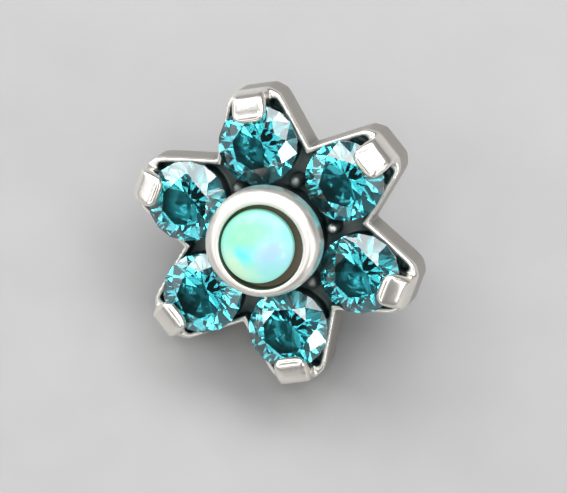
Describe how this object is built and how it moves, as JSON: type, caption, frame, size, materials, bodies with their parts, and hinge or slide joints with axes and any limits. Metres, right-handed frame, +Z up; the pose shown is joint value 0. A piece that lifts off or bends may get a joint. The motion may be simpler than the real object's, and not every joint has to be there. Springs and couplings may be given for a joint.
{
  "type": "dermal anchor top",
  "caption": "Flower-shaped screw-on top for a dermal anchor: teal brilliant-cut stones under folded prongs, round an opal dome in a tall collar, on a short post.",
  "frame": {"origin": "on the surface that the flower rests on, under the middle of its box", "axes": "+Z up; the flower faces up and leans towards -Y, between two petals; two more petals point along +X and -X"},
  "size_m": [0.0054, 0.005, 0.0038],
  "materials": {
    "titanium": "polished titanium",
    "opal": "polished opal",
    "teal_stone": "polished facets"
  },
  "bodies": {
    "root": {"flower_setting": "titanium", "post": "titanium", "opal_cabochon": "opal", "stone_1": "teal_stone", "stone_2": "teal_stone", "stone_3": "teal_stone", "stone_4": "teal_stone", "stone_5": "teal_stone", "stone_6": "teal_stone"}
  },
  "joints": []
}
